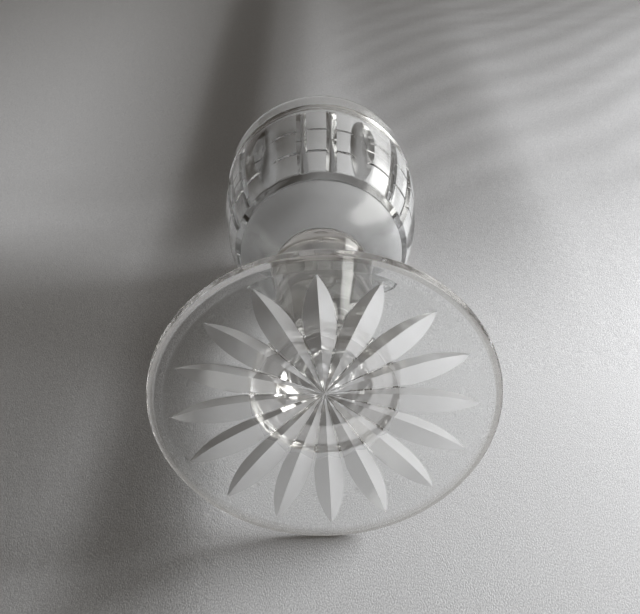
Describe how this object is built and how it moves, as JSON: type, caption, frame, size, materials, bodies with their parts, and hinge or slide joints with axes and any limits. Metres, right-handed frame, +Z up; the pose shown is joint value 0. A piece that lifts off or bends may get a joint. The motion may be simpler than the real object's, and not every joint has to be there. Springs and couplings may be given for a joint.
{
  "type": "wine goblet",
  "caption": "Clear cut-glass stemmed drinking goblet: round bowl with a cut band, baluster stem on a collar, and a round foot with a star cut underneath.",
  "frame": {"origin": "centre of the circle that the foot rests on, in the plane of the table", "axes": "+Z up along the axis of the goblet towards the lip; -Y towards the middle of one grid panel of the bowl, 1.3 degrees off it"},
  "size_m": [0.07, 0.07, 0.115],
  "materials": {
    "foot_glass": "clear lead crystal, polished, with fine-ground star cuts underneath",
    "collar_glass": "clear lead crystal, polished",
    "stem_glass": "clear lead crystal, polished",
    "bowl_glass": "clear lead crystal, polished, with polished mitre and flute cuts"
  },
  "bodies": {
    "root": {"foot": "foot_glass", "collar": "collar_glass", "stem": "stem_glass", "bowl": "bowl_glass"}
  },
  "joints": []
}
